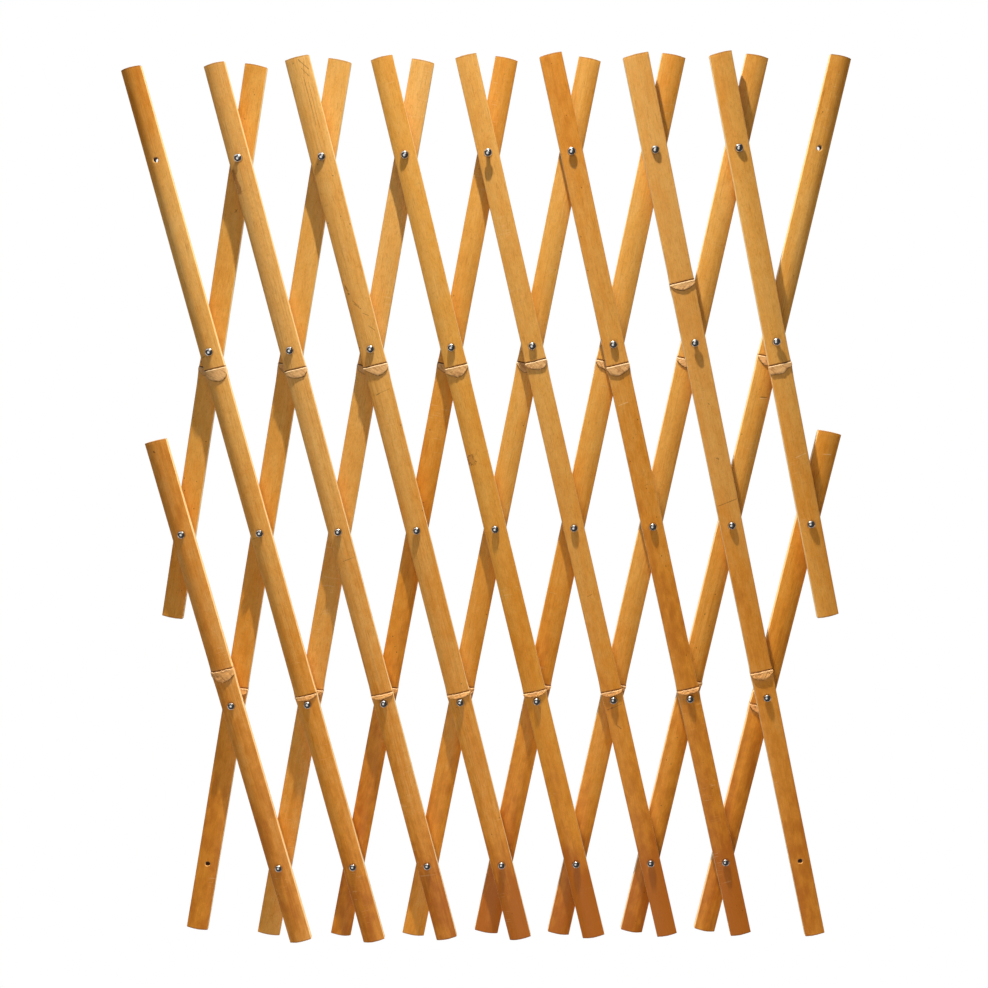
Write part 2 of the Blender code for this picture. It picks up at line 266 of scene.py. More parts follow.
# Slat ends: the edge's arch, its cut corners, and the steps that round it (height, inset)
END_ARCH = 0.0005
END_CORNER = 0.0003
CORNER_SLOPE = 0.84
END_UNEVENNESS = 0.00012
END_ROUNDING = ((0.00025, 0.0), (0.00007, 0.00006), (0.0, 0.00025))

# Worn slat faces: how far they lie inside the solid model's, and what a node does to them
SIDE_SLACK = 0.00016
FRONT_SLACK = 0.00012
BACK_SLACK = 0.00020
CORNER_RADIUS = 0.0004
BACK_FLATNESS = 4.5
NODE_SWELL = 0.00055
NODE_REACH = 0.007
GROOVE_DEPTH = 0.00055
BACK_RIDGE = 0.00022

# Chips: a lip along the straight edge, a swollen and torn face below it
SCAR_OVERHANG = 0.00050
LIP_HEIGHT = 0.00075
SCAR_SWELL = 0.00035
SCAR_BASE = 0.00005
LEAST_ARC = 0.0008

# Mesh density
EDGE_SHARES = (0.06, 0.20, 0.36, 0.52, 0.66, 0.78, 0.87, 0.925, 0.958, 0.982, 0.996)
FRONT_PLACES = [*reversed(EDGE_SHARES), *(-share for share in EDGE_SHARES)]
RING_STEP = 0.008
LEAST_STEP = 0.00015
NODE_CLEARANCE = 0.0042
NODE_STEPS = (-4, -2.8, -2, -1.4, -0.9, -0.45, -0.2, 0, 0.2, 0.45, 0.9, 1.6, 2.4, 3.2, 4)
END_STEPS = (0.003, 0.0055, 0.009, 0.014, 0.02)
SCAR_COLUMNS = 56
SCAR_ROWS = 9
LIP_ROWS = (0.0, 0.00025, 0.0005, 0.0008, 0.0012, 0.0018)
HOLE_SEGMENTS = 24
RIVET_SEGMENTS = 32
DOME_STEPS = 12
CUTTER_MARGIN = 0.002

# Material slots of a slat, and the start of its noise by layer
PARTS = ("face", "scar", "end")
SCAR_SLOT = PARTS.index("scar")
END_SLOT = PARTS.index("end")
SEEDS = {"front": 20, "rear": 40}

# Bamboo colours, from pale to deep stain, then fibres, cuts and chips, a painted highlight on the
# chips' lips, painted shade round rivet heads and in corners, and the ends' dark rims
STRAW = (0.88, 0.49, 0.130)
HONEY = (0.82, 0.385, 0.066)
AMBER = (0.74, 0.275, 0.024)
UMBER = (0.48, 0.130, 0.008)
BLOOM_COLOUR = (0.74, 0.56, 0.34)
FIBRE_BROWN = (0.34, 0.115, 0.010)
FIBRE_LIFT = (1.07, 1.09, 1.06)
MOTTLE_BROWN = (0.50, 0.180, 0.012)
MOTTLE_LIFT = (1.12, 1.14, 1.06)
SPECK_BROWN = (0.13, 0.045, 0.012)
PALE_CUT = (0.90, 0.66, 0.32)
PORE_BROWN = (0.25, 0.10, 0.03)
NODE_BAND = (0.80, 0.40, 0.15)
NODE_LINE = (0.34, 0.130, 0.030)
FRESH_CHIP = (0.78, 0.46, 0.20)
TORN_BROWN = (0.42, 0.17, 0.045)
FOLD_BROWN = (0.40, 0.15, 0.04)
LIP_HIGHLIGHT = (0.92, 0.72, 0.42)
RIVET_RING_SHADE = (0.20, 0.070, 0.020)
CORNER_SHADE = (0.13, 0.042, 0.012)
RIM_BROWN = (0.22, 0.080, 0.022)
KNOT_CORE = (0.42, 0.14, 0.03)
KNOT_RIM = (0.17, 0.05, 0.015)
MARK_TONES = {"dark": (0.17, 0.055, 0.015), "rust": (0.36, 0.11, 0.025), "pale": PALE_CUT}

# Coat, sheen and roughness of the stained bamboo
SPECULAR_LEVEL = 0.22
COAT_WEIGHT = 0.06
COAT_ROUGHNESS = 0.25
ROUGHNESS = {"face": 0.38, "scar": 0.62, "end": 0.66}

# Light
WHITE = (1.0, 1.0, 1.0)
WARM_WHITE = (1.0, 0.98, 0.95)
KEY_COLOUR = (1.0, 0.96, 0.88)
KEY_PLACE = (-0.005, -0.165, 0.82)
KEY_TARGET = (0.0, -0.02, 0.0)
KEY_SIZE = 0.016
KEY_POWER = 19.2
FILL_PLACE = (0.05, -1.3, 1.0)
FILL_SIZE = 0.8
FILL_POWER = 1.6
LOW_FILL_PLACE = (0.0, -0.95, -0.80)
LOW_FILL_TARGET = (0.0, 0.0, -0.35)
LOW_FILL_SIZE = 0.6
LOW_FILL_POWER = 4.1
WORLD_FILL = 0.185
WORLD_COLOUR = (1.0, 0.985, 0.96)
UPPER_DIRECTION = (-0.30, 0.18, 0.94)
WINDOW_DIRECTION = (-0.27, -0.96, -0.08)
ROOM_DIM = 0.05
ROOM_BRIGHT = 0.95

# Floor
FLOOR_Z = -1.0
FLOOR_SIDE = 4.0
FLOOR_FRONT = -0.10
FLOOR_BACK = 4.0
FLOOR_COLOUR = (0.90, 0.90, 0.90)

# Camera, fitted to the rivets in the photograph: focal length and width in its pixels
FOCAL_PIXELS = 1100.0
PHOTO_PIXELS = 988.0
SENSOR_WIDTH = 36.0
CAMERA_PLACE = (0.01138, -1.08473, 0.22220)
CAMERA_RIGHT = (0.99979, 0.00799, -0.01868)
CAMERA_AHEAD = (-0.01110, 0.98488, -0.17291)


# Lattice layout


def rows_of(layer, slat):
    """Rivet rows that a slat crosses. The corner slats are short."""
    if slat not in (0, SLATS - 1):
        return range(ROWS)
    low_short = (layer == "front") == (slat == 0)
    return range(MIDDLE_ROW, ROWS) if low_short else range(MIDDLE_ROW + 1)


def partner(layer, slat, row):
    """Slat of the other layer that crosses this one in a row."""
    return slat + LEAN[layer] * (MIDDLE_ROW - row)


def has_rivet(layer, slat, row):
    other = partner(layer, slat, row)
    other_layer = "rear" if layer == "front" else "front"
    return 0 <= other < SLATS and row in rows_of(other_layer, other)


def hinge_row(layer, slat):
    """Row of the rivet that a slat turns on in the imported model."""
    offset = LEAN[layer] * (slat - MIDDLE_SLAT)
    return min(max(MIDDLE_ROW + offset, 0), ROWS - 1)


def crossing(layer, slat, row):
    """Point on a slat's centre line in a row."""
    half_step = PITCH * sin(HALF_ANGLE)
    up = MIDDLE_ROW - row
    x = (slat - MIDDLE_SLAT) * 2 * half_step + LEAN[layer] * up * half_step
    return Vector((x, 0.0, up * PITCH * cos(HALF_ANGLE)))


def scar_edge(gap, length):
    """Height of a chip's straight edge above its rivet. The gap starts at the rivet's head."""
    if gap > 0:
        return HEAD_RADIUS + gap + length
    return gap - HEAD_RADIUS


def smooth(low, high, x):
    """Smooth step from 0 at low to 1 at high."""
    t = min(max((x - low) / (high - low), 0.0), 1.0)
    return t * t * (3 - 2 * t)


def bell(x, centre, reach):
    return exp(-((x - centre) / reach) ** 2)


def wobble(seed, a, b=0.0):
    """Smooth noise of about -1 to 1."""
    return noise.noise(Vector((a, b, seed * 7.31 + 0.37))) * 1.3


# Slats


class Slat:
    """Place and shape of one slat."""

    def __init__(self, layer, index):
        self.layer = layer
        self.index = index
        self.seed = index + SEEDS[layer]
        rows = rows_of(layer, index)
        hinge = hinge_row(layer, index)
        self.heights = {row: (hinge - row) * PITCH for row in rows}
        above, below = ENDS[layer][index]
        self.top = self.heights[rows[0]] + above
        self.bottom = self.heights[rows[-1]] - below
        self.place = crossing(layer, index, hinge)
        self.place.y = LAYER_Y[layer]
        self.crown = CROWN[layer][index]
        self.tapers = TAPERS[layer][index]
        self.scars = [(self.heights[row] + scar_edge(gap, length), length)
                      for row, gap, length in SCARS[layer][index]]

    def near_node(self, z):
        """One beside a node, and zero away from all of them."""
        return max((bell(z, edge - length / 3, NODE_REACH) for edge, length in self.scars),
                   default=0.0)

    def half_width(self, z):
        share = (z - self.bottom) / (self.top - self.bottom)
        share = min(max(share, 0.0), 1.0)
        return WIDTH / 2 * (self.tapers[1] + (self.tapers[0] - self.tapers[1]) * share)

    def wear(self, slack, face, along):
        """How far a worn face lies inside the solid model's."""
        return slack * (1.0 + 0.9 * wobble(self.seed + face, along))

    def limits(self, z):
        """Left, right, front and back faces at a height."""
        swell = NODE_SWELL * self.near_node(z)
        swell *= 1.0 - smooth(self.top - 0.03, self.top - 0.02, z)
        half = self.half_width(z)
        left = half - self.wear(SIDE_SLACK, 0.4, z * 8.0) + swell
        right = half - self.wear(SIDE_SLACK, 0.0, z * 9.0) + swell
        front = THICKNESS / 2 - self.wear(FRONT_SLACK, 0.7, z * 11.0)
        back = THICKNESS / 2 - self.wear(BACK_SLACK, 0.9, z * 7.0)
        return left, right, front, back

    def face_depth(self, x, z):
        """Depth of the front face at a point across it, from mid-thickness."""
        left, right, front, _ = self.limits(z)
        side = right if x > 0 else left
        share = min(abs(x) / side, 1.0)
        depth = front - self.crown[x > 0] * share ** 2
        inside = side - min(abs(x), side)
        if inside < CORNER_RADIUS:
            depth -= CORNER_RADIUS * (1.0 - (1.0 - (1.0 - inside / CORNER_RADIUS) ** 2) ** 0.5)
        return depth

    def ring(self, z, inset=0.0):
        """Points of the section at a height: the front from right to left, then the back."""
        left, right, _, back = self.limits(z)
        groove = 0.0
        ridge = 0.0
        for edge, _ in self.scars:
            away = z - edge
            groove += GROOVE_DEPTH * bell(away, 0.00035, 0.00045)
            ridge += BACK_RIDGE * (bell(away, -0.0012, 0.0011) - bell(away, 0.0022, 0.0010))
        points = []
        for share in FRONT_PLACES:
            x = share * (right if share > 0 else left)
            y = -self.face_depth(x, z) + groove * (1.0 - smooth(0.93, 1.0, abs(share)))
            points.append([x, y])
        for share in reversed(FRONT_PLACES):
            s = cos(share * pi / 2)
            c = sin(share * pi / 2)
            x = abs(c) ** (2 / BACK_FLATNESS) * (right if c > 0 else -left)
            y = s ** (2 / BACK_FLATNESS) * back + ridge * smooth(0.15, 0.9, s)
            points.append([x, y])
        if inset:
            for point in points:
                point[0] *= 1.0 - inset / self.half_width(z)
                point[1] *= 1.0 - inset / (THICKNESS / 2)
        return points

    def ring_heights(self):
        """Heights of the rings: even steps, and closer ones at each node and near the ends."""
        heights = []
        z = self.bottom + 0.0012
        while z < self.top - 0.0012:
            heights.append(z)
            z += RING_STEP
        for edge, _ in self.scars:
            heights = [h for h in heights if abs(h - edge) > NODE_CLEARANCE]
            heights += [edge + step * 0.001 for step in NODE_STEPS]
        for step in END_STEPS:
            heights += [self.top - step, self.bottom + step]
        heights = sorted(h for h in heights if self.bottom + 0.001 < h < self.top - 0.001)
        kept = [heights[0]]
        for h in heights[1:]:
            if h - kept[-1] > LEAST_STEP:
                kept.append(h)
        return kept


def end_shift(x, half, seed):
    """How far the end's edge lies short of its highest point."""
    shoulder = half - END_CORNER
    drop = END_ARCH * min(abs(x) / shoulder, 1.0) ** 2
    drop += CORNER_SLOPE * max(abs(x) - shoulder, 0.0)
    return drop + END_UNEVENNESS * (1.0 + wobble(seed, x * 420.0))


def slat_body(slat):
    """The slat's closed body, before its holes, as a bmesh."""
    stack = [(z, slat.ring(z)) for z in slat.ring_heights()]
    low_z, high_z = stack[0][0], stack[-1][0]
    for lift, inset in END_ROUNDING:
        stack.append((slat.top - lift, slat.ring(high_z, inset)))
        stack.insert(0, (slat.bottom + lift, slat.ring(low_z, inset)))
    shape = bmesh.new()
    rings = []
    for z, points in stack:
        upper = smooth(slat.top - 0.026, slat.top - 0.001, z)
        lower = smooth(slat.bottom + 0.026, slat.bottom + 0.001, z)
        half = slat.half_width(z)
        ring = []
        for x, y in points:
            shift = lower * end_shift(x, half, slat.seed + 3)
            shift -= upper * end_shift(x, half, slat.seed + 5)
            ring.append(shape.verts.new((x, y, z + shift)))
        rings.append(ring)
    half_count = len(FRONT_PLACES)
    count = 2 * half_count
    for lower_ring, upper_ring in zip(rings, rings[1:]):
        for k in range(count):
            n = (k + 1) % count
            shape.faces.new((lower_ring[n], lower_ring[k], upper_ring[k], upper_ring[n]))
    for ring, flip in ((rings[0], True), (rings[-1], False)):
        for k in range(half_count - 1):
            quad = (ring[k], ring[k + 1], ring[count - 2 - k], ring[count - 1 - k])
            face = shape.faces.new(quad)
            face.material_index = END_SLOT
            if flip:
                face.normal_flip()
    bmesh.ops.recalc_face_normals(shape, faces=shape.faces)
    return shape


def scar_arc(u, length, outline, seed):
    """Length of a chip below its straight edge, at a place from -1 to 1 across it."""
    share = outline[-1][1]
    for (u_0, share_0), (u_1, share_1) in zip(outline, outline[1:]):
        if u <= u_1:
            share = share_0 + (share_1 - share_0) * (u - u_0) / (u_1 - u_0)
            break
    arc = length * share + 0.00016 * wobble(seed + 1, u * 7.0) + 0.00020 * wobble(seed + 2, u * 26.0)
    return min(max(arc, LEAST_ARC), length)


def scar_rise(u, x, v, length, worn, seed):
    """Height of a chip's face above the slat, at a distance below its straight edge."""
    lip = LIP_HEIGHT * smooth(0.0, 0.0006, v)
    swell = SCAR_SWELL * (1.0 + worn) * smooth(0.0010, length * 0.8, v)
    rise = lip + swell + SCAR_BASE
    rise *= 1.0 - 0.45 * smooth(0.88, 1.0, abs(u))
    slant = x * 900.0 + v * 900.0
    torn = 0.00020 + 0.00018 * worn
    rise += torn * wobble(seed + 3, slant, v * 260.0) * smooth(0.001, 0.002, v)
    return rise + 0.00004 * wobble(seed + 4, x * 2600.0, v * 900.0)


def scar_column(shape, slat, scar, outline, worn, seed, u):
    """One column of a chip's points, from above its straight edge to below its outline."""
    edge, length = scar
    half = slat.half_width(edge) + SCAR_OVERHANG
    x = u * half
    inner = u * (half - 0.0006)
    arc = scar_arc(u, length, outline, seed)
    upper = min(LIP_ROWS[-1], arc * 0.6)
    places = [v * upper / LIP_ROWS[-1] for v in LIP_ROWS]
    places += [upper + (arc - upper) * (j + 1) / SCAR_ROWS for j in range(SCAR_ROWS)]
    lip_gap = 0.00026 * wobble(seed + 5, u * 5.0) + 0.00012 * wobble(seed + 6, u * 19.0)
    lip_gap *= 1.0 + 1.6 * worn
    head = -(slat.face_depth(inner, edge) - 0.0012)
    column = [(x * 0.96, head, edge - 0.00005)]
    for v in places:
        rise = scar_rise(u, x, v, length, worn, seed)
        if v == places[-1]:
            rise -= 0.00018
        rise = min(max(rise, 0.00002), SCAR_HEIGHT - 0.00005)
        z = edge - v - 0.00010 + lip_gap * (1.0 - smooth(0.0, 0.002, v))
        column.append((x, -(slat.face_depth(inner, z) + rise), z))
    z_low = edge - arc + 0.0004
    foot = -(slat.face_depth(inner, z_low) - 0.0010)
    column.append((x * 0.97, foot, z_low))
    return [shape.verts.new(point) for point in column]


def add_scar(shape, slat, scar, outline, worn, seed):
    """Add a half-moon chip to the front face. Worn, from 0 to 1, is how torn it is."""
    grid = []
    for i in range(SCAR_COLUMNS + 1):
        u = -1.0 + 2.0 * i / SCAR_COLUMNS
        grid.append(scar_column(shape, slat, scar, outline, worn, seed, u))
    ends = []
    for column, side in ((grid[0], -1), (grid[-1], 1)):
        ends.append([shape.verts.new((v.co.x - side * 0.0003, v.co.y + 0.0022, v.co.z))
                     for v in column])
    grid = [ends[0], *grid, ends[1]]
    for left_column, right_column in zip(grid, grid[1:]):
        for j in range(len(left_column) - 1):
            quad = (left_column[j], left_column[j + 1], right_column[j + 1], right_column[j])
            shape.faces.new(quad).material_index = SCAR_SLOT


# Rivets and holes


def lathe(profile, segments):
    """Turn (radius, height) points about Z, with the first and last points on the axis."""
    shape = bmesh.new()
    first = shape.verts.new((0.0, 0.0, profile[0][1]))
    last = shape.verts.new((0.0, 0.0, profile[-1][1]))
    rings = []
    for radius, height in profile[1:-1]:
        ring = []
        for k in range(segments):
            angle = 2 * pi * k / segments
            ring.append(shape.verts.new((radius * cos(angle), radius * sin(angle), height)))
        rings.append(ring)
    for k in range(segments):
        n = (k + 1) % segments
        shape.faces.new((first, rings[0][k], rings[0][n]))
        for upper, lower in zip(rings, rings[1:]):
            shape.faces.new((upper[k], lower[k], lower[n], upper[n]))
        shape.faces.new((last, rings[-1][n], rings[-1][k]))
    bmesh.ops.recalc_face_normals(shape, faces=shape.faces)
    return shape


def new_object(name, data):
    obj = bpy.data.objects.new(name, data)
    bpy.context.scene.collection.objects.link(obj)
    return obj


def new_mesh(name, shape, materials):
    """A mesh from a bmesh, which is freed."""
    mesh = bpy.data.meshes.new(name)
    shape.to_mesh(mesh)
    shape.free()
    for material in materials:
        mesh.materials.append(material)
    return mesh


def rivet_mesh(head_top, material):
    """Domed head, neck, shank and rolled tail. Heights are measured from the wall plane."""
    rim = 0.00042
    base = head_top - HEAD_HEIGHT
    dome = HEAD_HEIGHT - rim
    profile = [(0.0, head_top)]
    for k in range(1, DOME_STEPS + 1):
        angle = pi / 2 * k / DOME_STEPS
        profile.append((HEAD_RADIUS * sin(angle), base + rim + dome * cos(angle)))
    profile += [
        (HEAD_RADIUS * 0.995, base + rim * 0.55),
        (HEAD_RADIUS * 0.965, base + rim * 0.18),
        (HEAD_RADIUS * 0.90, base),
        (SHANK_RADIUS + 0.00035, base),
        (SHANK_RADIUS + 0.00008, base - 0.00010),
        (SHANK_RADIUS, base - 0.00040),
        (SHANK_RADIUS, TAIL_HEIGHT + 0.00015),
        (SHANK_RADIUS + 0.00025, TAIL_HEIGHT - 0.00005),
        (TAIL_RADIUS * 0.92, TAIL_HEIGHT * 0.93),
        (TAIL_RADIUS, TAIL_HEIGHT * 0.74),
        (TAIL_RADIUS * 0.985, TAIL_HEIGHT * 0.5),
        (TAIL_RADIUS * 0.90, TAIL_HEIGHT * 0.22),
        (TAIL_RADIUS * 0.72, 0.00002),
        (TAIL_RADIUS * 0.56, TAIL_HEIGHT * 0.10),
        (TAIL_RADIUS * 0.40, TAIL_HEIGHT * 0.34),
        (TAIL_RADIUS * 0.22, TAIL_HEIGHT * 0.42),
        (0.0, TAIL_HEIGHT * 0.43),
    ]
    shape = lathe(profile, RIVET_SEGMENTS)
    shape.transform(Matrix.Rotation(pi / 2, 4, "X"))
    mesh = new_mesh("steel_rivet", shape, [material])
    mesh.shade_smooth()
    mesh.set_sharp_from_angle(angle=radians(50))
    return mesh


def build_rivets(material):
    """One rivet at each crossing. Each takes its height from its solid, as some stand proud."""
    meshes = {}
    for row in range(ROWS):
        count = 0
        for slat in range(SLATS):
            if row not in rows_of("front", slat) or not has_rivet("front", slat, row):
                continue
            count += 1
            node = f"rivet_row_{row + 1}_{count}"
            head_top = round(-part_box(node)[0].y, 5)
            if head_top not in meshes:
                meshes[head_top] = rivet_mesh(head_top, material)
            obj = new_object(f"steel_{node}", meshes[head_top])
            obj.location = crossing("front", slat, row)
            obj.rotation_euler.y = (row * 2.4 + slat * 1.7) % (2 * pi)
            centre = row == MIDDLE_ROW and slat == MIDDLE_SLAT
            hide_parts(node)
            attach(obj, "centre_rivet" if centre else f"front_{slat + 1}")


def hole_cutters(slat):
    """All of a slat's hole cutters as one bmesh. Holes without a rivet are countersunk."""
    joined = bmesh.new()
    high = THICKNESS / 2 + CUTTER_MARGIN
    slope = (COUNTERSINK_RADIUS - HOLE_RADIUS) / COUNTERSINK_DEPTH
    for row, height in slat.heights.items():
        if has_rivet(slat.layer, slat.index, row):
            mouth = [(HOLE_RADIUS, high)]
        else:
            mouth = [(COUNTERSINK_RADIUS + slope * CUTTER_MARGIN, high),
                     (HOLE_RADIUS, THICKNESS / 2 - COUNTERSINK_DEPTH)]
        profile = [(0.0, high), *mouth, (HOLE_RADIUS, -high), (0.0, -high)]
        cutter = lathe(profile, HOLE_SEGMENTS)
        turn = Matrix.Translation((0.0, 0.0, height)) @ Matrix.Rotation(pi / 2, 4, "X")
        cutter.transform(turn)
        mesh = new_mesh("cutter", cutter, [])
        joined.from_mesh(mesh)
        bpy.data.meshes.remove(mesh)
    for face in joined.faces:
        face.material_index = END_SLOT
    return joined


def cut_holes(obj, slat, materials):
    """Replace an object's mesh by one with the slat's holes in it."""
    solid = obj.data
    tool = new_object("holes", new_mesh("holes", hole_cutters(slat), materials))
    cut = obj.modifiers.new("holes", "BOOLEAN")
    cut.operation = "DIFFERENCE"
    cut.solver = "EXACT"
    cut.object = tool
    graph = bpy.context.evaluated_depsgraph_get()
    holed = bpy.data.meshes.new_from_object(obj.evaluated_get(graph))
    obj.modifiers.clear()
    obj.data = holed
    tool_mesh = tool.data
    bpy.data.objects.remove(tool, do_unlink=True)
    bpy.data.meshes.remove(tool_mesh)
    bpy.data.meshes.remove(solid)


def build_slat(slat, materials):
    name = f"bamboo_{slat.layer}_{slat.index + 1}"
    obj = new_object(name, new_mesh(name, slat_body(slat), materials))
    cut_holes(obj, slat, materials)
    mesh = obj.data
    mesh.name = name

    shape = bmesh.new()
    shape.from_mesh(mesh)
    for number, scar in enumerate(slat.scars):
        outline = PLAIN_OUTLINES[(slat.seed + number) % len(PLAIN_OUTLINES)]
        if number == 0:
            outline = SCAR_OUTLINES.get((slat.layer, slat.index), outline)
        worn = 1.0 if scar[0] < slat.heights[MIDDLE_ROW] else 0.0
        add_scar(shape, slat, scar, outline, worn, slat.seed * 3 + number)
    shape.to_mesh(mesh)
    shape.free()
    mesh.shade_smooth()
    mesh.set_sharp_from_angle(angle=radians(42))

    obj.location = slat.place
    obj.rotation_euler.y = LEAN[slat.layer] * HALF_ANGLE
    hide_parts(f"{slat.layer}_slat_{slat.index + 1}")
    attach(obj, f"{slat.layer}_{slat.index + 1}")


# Materials


class Graph:
    """Short calls that make and link shader nodes. An input is a number, a tuple or a socket."""

    def __init__(self, tree):
        self.tree = tree
        self.tree.nodes.clear()

    def put(self, socket, value):
        if isinstance(value, bpy.types.NodeSocket):
            self.tree.links.new(value, socket)
        elif isinstance(value, tuple) and len(value) == 3 and socket.type == "RGBA":
            socket.default_value = (*value, 1.0)
        else:
            socket.default_value = value

    def node(self, kind, inputs, **settings):
        """A node with some settings, and with some inputs by name or number."""
        node = self.tree.nodes.new("ShaderNode" + kind)
        for name, value in settings.items():
            setattr(node, name, value)
        for name, value in inputs.items():
            self.put(node.inputs[name], value)
        return node

    def math(self, operation, a, b=None, clamp=False):
        inputs = {0: a} if b is None else {0: a, 1: b}
        return self.node("Math", inputs, operation=operation, use_clamp=clamp).outputs[0]

    def add(self, a, b):
        return self.math("ADD", a, b)

    def sub(self, a, b):
        return self.math("SUBTRACT", a, b)

    def mul(self, a, b):
        return self.math("MULTIPLY", a, b)

    def most(self, a, b):
        return self.math("MAXIMUM", a, b)

    def size(self, a):
        return self.math("ABSOLUTE", a)

    def length(self, a, b):
        return self.math("SQRT", self.add(self.mul(a, a), self.mul(b, b)))

    def coordinate(self, name):
        return self.node("TexCoord", {}).outputs[name]

    def local(self):
        return self.coordinate("Object")

    def facing(self):
        """The surface normal in the object's frame."""
        return self.coordinate("Normal")

    def split(self, vector):
        return self.node("SeparateXYZ", {0: vector}).outputs

    def dot(self, vector, direction):
        node = self.node("VectorMath", {0: vector, 1: direction}, operation="DOT_PRODUCT")
        return node.outputs["Value"]

    def stretch(self, vector, scale, offset):
        inputs = {"Vector": vector, "Scale": scale, "Location": offset}
        return self.node("Mapping", inputs).outputs[0]

    def turn(self, vector, angle):
        """Turned about Y, in a slat's plane."""
        inputs = {"Vector": vector, "Rotation": (0.0, angle, 0.0)}
        return self.node("Mapping", inputs).outputs[0]

    def noise(self, vector, scale, offset, detail=2.0, roughness=0.5, distortion=0.0):
        inputs = {"Vector": self.stretch(vector, scale, offset), "Scale": 1.0, "Detail": detail,
                  "Roughness": roughness, "Distortion": distortion}
        return self.node("TexNoise", inputs).outputs[0]

    def cells(self, vector, scale, offset):
        """Distance to the nearest of many scattered points, and a colour for each point."""
        inputs = {"Vector": self.stretch(vector, scale, offset), "Scale": 1.0}
        outputs = self.node("TexVoronoi", inputs).outputs
        return outputs["Distance"], outputs["Color"]

    def span(self, value, low, high, to_low=0.0, to_high=1.0, kind="SMOOTHSTEP"):
        """Step from to_low at low to to_high at high."""
        inputs = {"Value": value, "From Min": low, "From Max": high, "To Min": to_low,
                  "To Max": to_high}
        return self.node("MapRange", inputs, interpolation_type=kind).outputs[0]

    def ramp(self, value, stops):
        node = self.node("ValToRGB", {0: value})
        elements = node.color_ramp.elements
        while len(elements) < len(stops):
            elements.new(0.5)
        for element, (position, colour) in zip(elements, stops):
            element.position = position
            element.color = (*colour, 1.0)
        return node.outputs[0]

    def mix(self, share, a, b, blend="MIX"):
        """Mix two colours. The Mix node's colour sockets are numbers 6 and 7, and output 2."""
        inputs = {0: share, 6: a, 7: b}
        return self.node("Mix", inputs, data_type="RGBA", blend_type=blend).outputs[2]

    def crevice(self, distance):
        """One deep in corners, and zero in the open."""
        node = self.node("AmbientOcclusion", {"Distance": distance}, samples=8, only_local=True)
        return self.sub(1.0, node.outputs["AO"])

    def bump(self, height, strength, distance, normal=None):
        inputs = {"Height": height, "Strength": strength, "Distance": distance}
        if normal is not None:
            inputs["Normal"] = normal
        return self.node("Bump", inputs).outputs[0]

    def blend(self, share, a, b):
        """Mix two shaders."""
        return self.node("MixShader", {0: share, 1: a, 2: b}).outputs[0]


def new_material(name):
    """A material and the graph of its empty node tree."""
    material = bpy.data.materials.new(name)
    material.use_nodes = True
    return material, Graph(material.node_tree)


def stain_colour(g, slat, z, clouds, streaks, blotches):
    """Stain that deepens towards the foot, by slat, in long soft clouds."""
    reach = STAIN_REACH / cos(HALF_ANGLE)
    middle = slat.place.z
    grain = GRAIN[slat.layer][slat.index]
    head = HEAD_STAIN[slat.layer][slat.index]
    foot = FOOT_STAIN[slat.layer][slat.index]
    depth = g.span(z, -reach - middle, reach - middle, 0.47, -0.06)
    stain = g.add(depth, STAIN[slat.layer][slat.index])
    stain = g.add(stain, g.span(z, slat.top - 0.16, slat.top - 0.03, 0.0, head))
    stain = g.add(stain, g.span(z, slat.bottom + 0.02, slat.bottom + 0.15, foot, 0.0))
    stain = g.add(stain, g.span(clouds, 0.25, 0.75, -0.11, 0.11))
    stain = g.add(stain, g.span(streaks, 0.30, 0.70, -0.08 * grain, 0.08 * grain))
    stain = g.add(stain, g.span(blotches, 0.30, 0.70, -0.08, 0.08))
    colour = g.ramp(stain, [(0.0, STRAW), (0.34, HONEY), (0.70, AMBER), (1.0, UMBER)])
    bloom = g.span(stain, 0.35, 0.85, 1.2, 0.2)
    return g.mix(g.mul(bloom, BLOOM[slat.layer][slat.index]), colour, BLOOM_COLOUR)


def grain_colour(g, slat, colour, local, offset, coarse, fibres):
    """Fibres, short dark bundles, a few specks and a fine mottle."""
    grain = GRAIN[slat.layer][slat.index]
    colour = g.mix(g.span(coarse, 0.34, 0.50, 0.26 * grain, 0.0), colour, FIBRE_BROWN)
    colour = g.mix(g.span(fibres, 0.34, 0.54, 0.24, 0.0), colour, FIBRE_BROWN)
    colour = g.mix(g.span(fibres, 0.50, 0.68), colour, FIBRE_LIFT, "MULTIPLY")
    bundles, bundle_colour = g.cells(local, (560.0, 560.0, 42.0), offset)
    rare = g.span(g.split(bundle_colour)[0], 0.72, 0.80)
    dash = g.mul(g.span(bundles, 0.10, 0.26, 0.36, 0.0), rare)
    colour = g.mix(dash, colour, FIBRE_BROWN)
    specks, speck_colour = g.cells(local, (130.0, 130.0, 95.0), offset)
    few = g.span(g.split(speck_colour)[1], 0.76, 0.80)
    speck = g.mul(g.span(specks, 0.045, 0.090, 0.75, 0.0), few)
    colour = g.mix(speck, colour, SPECK_BROWN)
    mottle = g.noise(local, (520.0, 520.0, 330.0), offset, roughness=0.6)
    colour = g.mix(g.span(mottle, 0.56, 0.70, 0.0, 0.26), colour, MOTTLE_BROWN)
    return g.mix(g.span(mottle, 0.44, 0.30, 0.0, 0.35), colour, MOTTLE_LIFT, "MULTIPLY")


def node_colour(g, slat, z, colour):
    """The node: a dark line in its groove, and a warmer band beside it."""
    for edge, length in slat.scars:
        away = g.sub(z, edge)
        line = g.span(g.size(g.add(away, -0.00040)), 0.00040, 0.00080, 1.0, 0.0)
        band = g.span(g.size(g.add(away, length / 2)), length / 2, length, 1.0, 0.0)
        colour = g.mix(g.mul(band, 0.14), colour, NODE_BAND)
        colour = g.mix(g.mul(line, 0.75), colour, NODE_LINE)
    return colour


